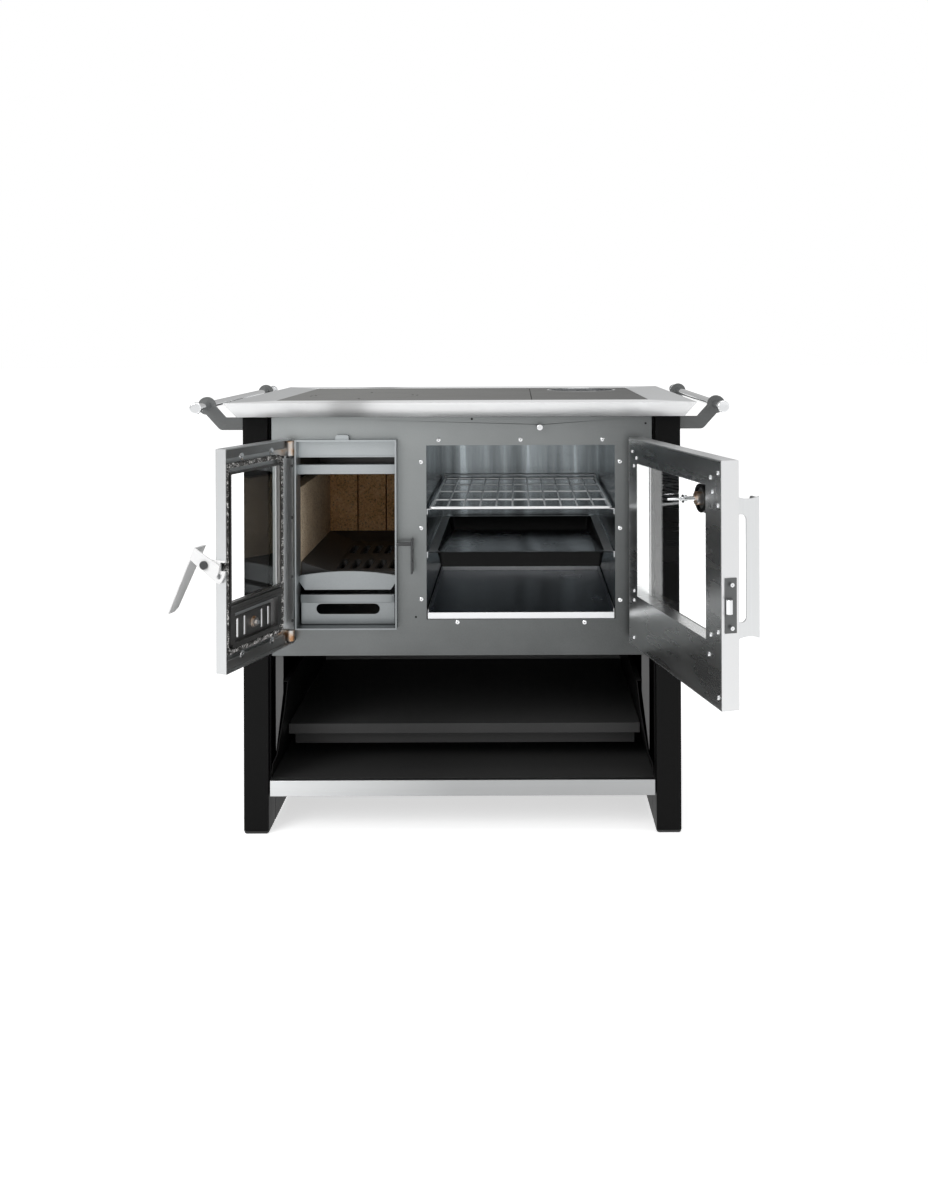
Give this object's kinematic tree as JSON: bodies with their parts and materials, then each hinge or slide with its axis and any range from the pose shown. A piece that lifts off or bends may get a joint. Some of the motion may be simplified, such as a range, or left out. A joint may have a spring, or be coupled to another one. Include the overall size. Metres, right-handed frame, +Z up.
{
  "type": "wood cookstove",
  "caption": "Wood-burning range cooker with an open firebox and oven, glazed doors, steel hob with flue outlet, side rails and a wood store on four legs.",
  "frame": {"origin": "on the floor under the middle of the hob", "axes": "+X to the right seen from the front, +Y to the back, +Z up; the doors face -Y"},
  "size_m": [1.0409, 1.0571, 0.859],
  "materials": {
    "stainless": "brushed",
    "polished": "polished",
    "chromed": "polished",
    "black_paint": "satin",
    "grey_paint": "satin",
    "hob_steel": "ground",
    "grate_iron": "cast",
    "firebrick": "rough fired clay",
    "rope": "woven glass fibre",
    "door_glass": "clear",
    "enamel": "gloss enamel",
    "wire": "plated",
    "glide": "moulded",
    "black_bolt": "satin"
  },
  "bodies": {
    "stove": {"top_rim": "stainless", "legs": "black_paint", "foot_glides": "glide", "leg_runners": "black_paint", "front_plate": "grey_paint", "side_panels": "black_paint", "back_panel": "black_paint", "cabinet_floor": "black_paint", "hob_frame": "hob_steel", "hob_plate_left": "hob_steel", "hob_plate_right": "hob_steel", "flue_collar": "polished", "rail_brackets": "stainless", "rail_rods": "chromed", "rail_caps": "chromed", "firebox_collar": "grey_paint", "firebox_housing": "grey_paint", "brick_ledges": "grey_paint", "firebricks_side": "firebrick", "firebricks_back": "firebrick", "throat_panel": "grey_paint", "flame_bar": "grey_paint", "fire_grate": "grate_iron", "log_guard": "grey_paint", "oven_liner": "polished", "oven_ledges": "polished", "gas_plate": "grey_paint", "shelf_trim": "stainless", "bottom_shelf": "black_paint", "middle_shelf": "black_paint", "side_guards": "black_paint", "hanger_straps": "grey_paint", "hinge_brackets": "stainless", "latch_keeper": "grey_paint"},
    "fire_door": {"fire_door_shell": "stainless", "fire_door_glass": "door_glass", "glass_retainer": "stainless", "rope_gasket": "rope", "fire_door_strips": "stainless", "fire_door_knuckles": "stainless", "lever_bracket": "stainless", "lever_bolt": "black_bolt"},
    "latch_lever": {"latch_lever": "stainless"},
    "air_slide": {"air_slide": "stainless"},
    "oven_door": {"oven_door_shell": "stainless", "oven_door_liner": "polished", "oven_door_glass": "door_glass", "thermometer": "polished", "oven_handle": "stainless", "oven_door_knuckles": "stainless", "catch_plate": "stainless"},
    "catch_roller": {"catch_roller": "stainless"},
    "ash_drawer": {"ash_drawer": "grey_paint"},
    "oven_rack": {"oven_rack": "wire"},
    "baking_tray": {"baking_tray": "enamel"},
    "drip_pan": {"drip_pan": "polished"},
    "damper": {"damper_plate": "grey_paint", "damper_rod": "chromed", "damper_knob": "chromed"},
    "hob_lid": {"hob_lid": "hob_steel"}
  },
  "joints": [
    {"name": "fire_door_hinge", "type": "hinge", "parent": "stove", "child": "fire_door", "pos_m": [-0.335, -0.287, 0], "axis": [0, 0, -1], "range_deg": [-110.7, 14.3]},
    {"name": "latch_lever_pivot", "type": "hinge", "parent": "fire_door", "child": "latch_lever", "pos_m": [-0.44529, -0.48692, 0.573], "axis": [0.3535, 0.9354, 0], "range_deg": [-26, 40]},
    {"name": "air_slide_travel", "type": "slide", "parent": "fire_door", "child": "air_slide", "axis": [-0.3535, -0.9354, 0], "range_m": [-0.01, 0]},
    {"name": "oven_door_hinge", "type": "hinge", "parent": "stove", "child": "oven_door", "pos_m": [0.3398, -0.2855, 0], "axis": [0, 0, 1], "range_deg": [-104.8, 15.2]},
    {"name": "catch_roller_spin", "type": "hinge", "parent": "oven_door", "child": "catch_roller", "pos_m": [0.44562, -0.70364, 0.547], "axis": [0, 0, 1], "continuous": true},
    {"name": "ash_drawer_slide", "type": "slide", "parent": "stove", "child": "ash_drawer", "axis": [0, -1, 0], "range_m": [0, 0.3]},
    {"name": "oven_rack_slide", "type": "slide", "parent": "stove", "child": "oven_rack", "axis": [0, -1, 0], "range_m": [0, 0.3]},
    {"name": "baking_tray_slide", "type": "slide", "parent": "stove", "child": "baking_tray", "axis": [0, -1, 0], "range_m": [0, 0.35]},
    {"name": "drip_pan_slide", "type": "slide", "parent": "stove", "child": "drip_pan", "axis": [0, -1, 0], "range_m": [0, 0.35]},
    {"name": "damper_pull", "type": "slide", "parent": "stove", "child": "damper", "axis": [0, -1, 0], "range_m": [0, 0.08]},
    {"name": "hob_lid_lift", "type": "slide", "parent": "stove", "child": "hob_lid", "axis": [0, 0, 1], "range_m": [0, 0.1]}
  ]
}
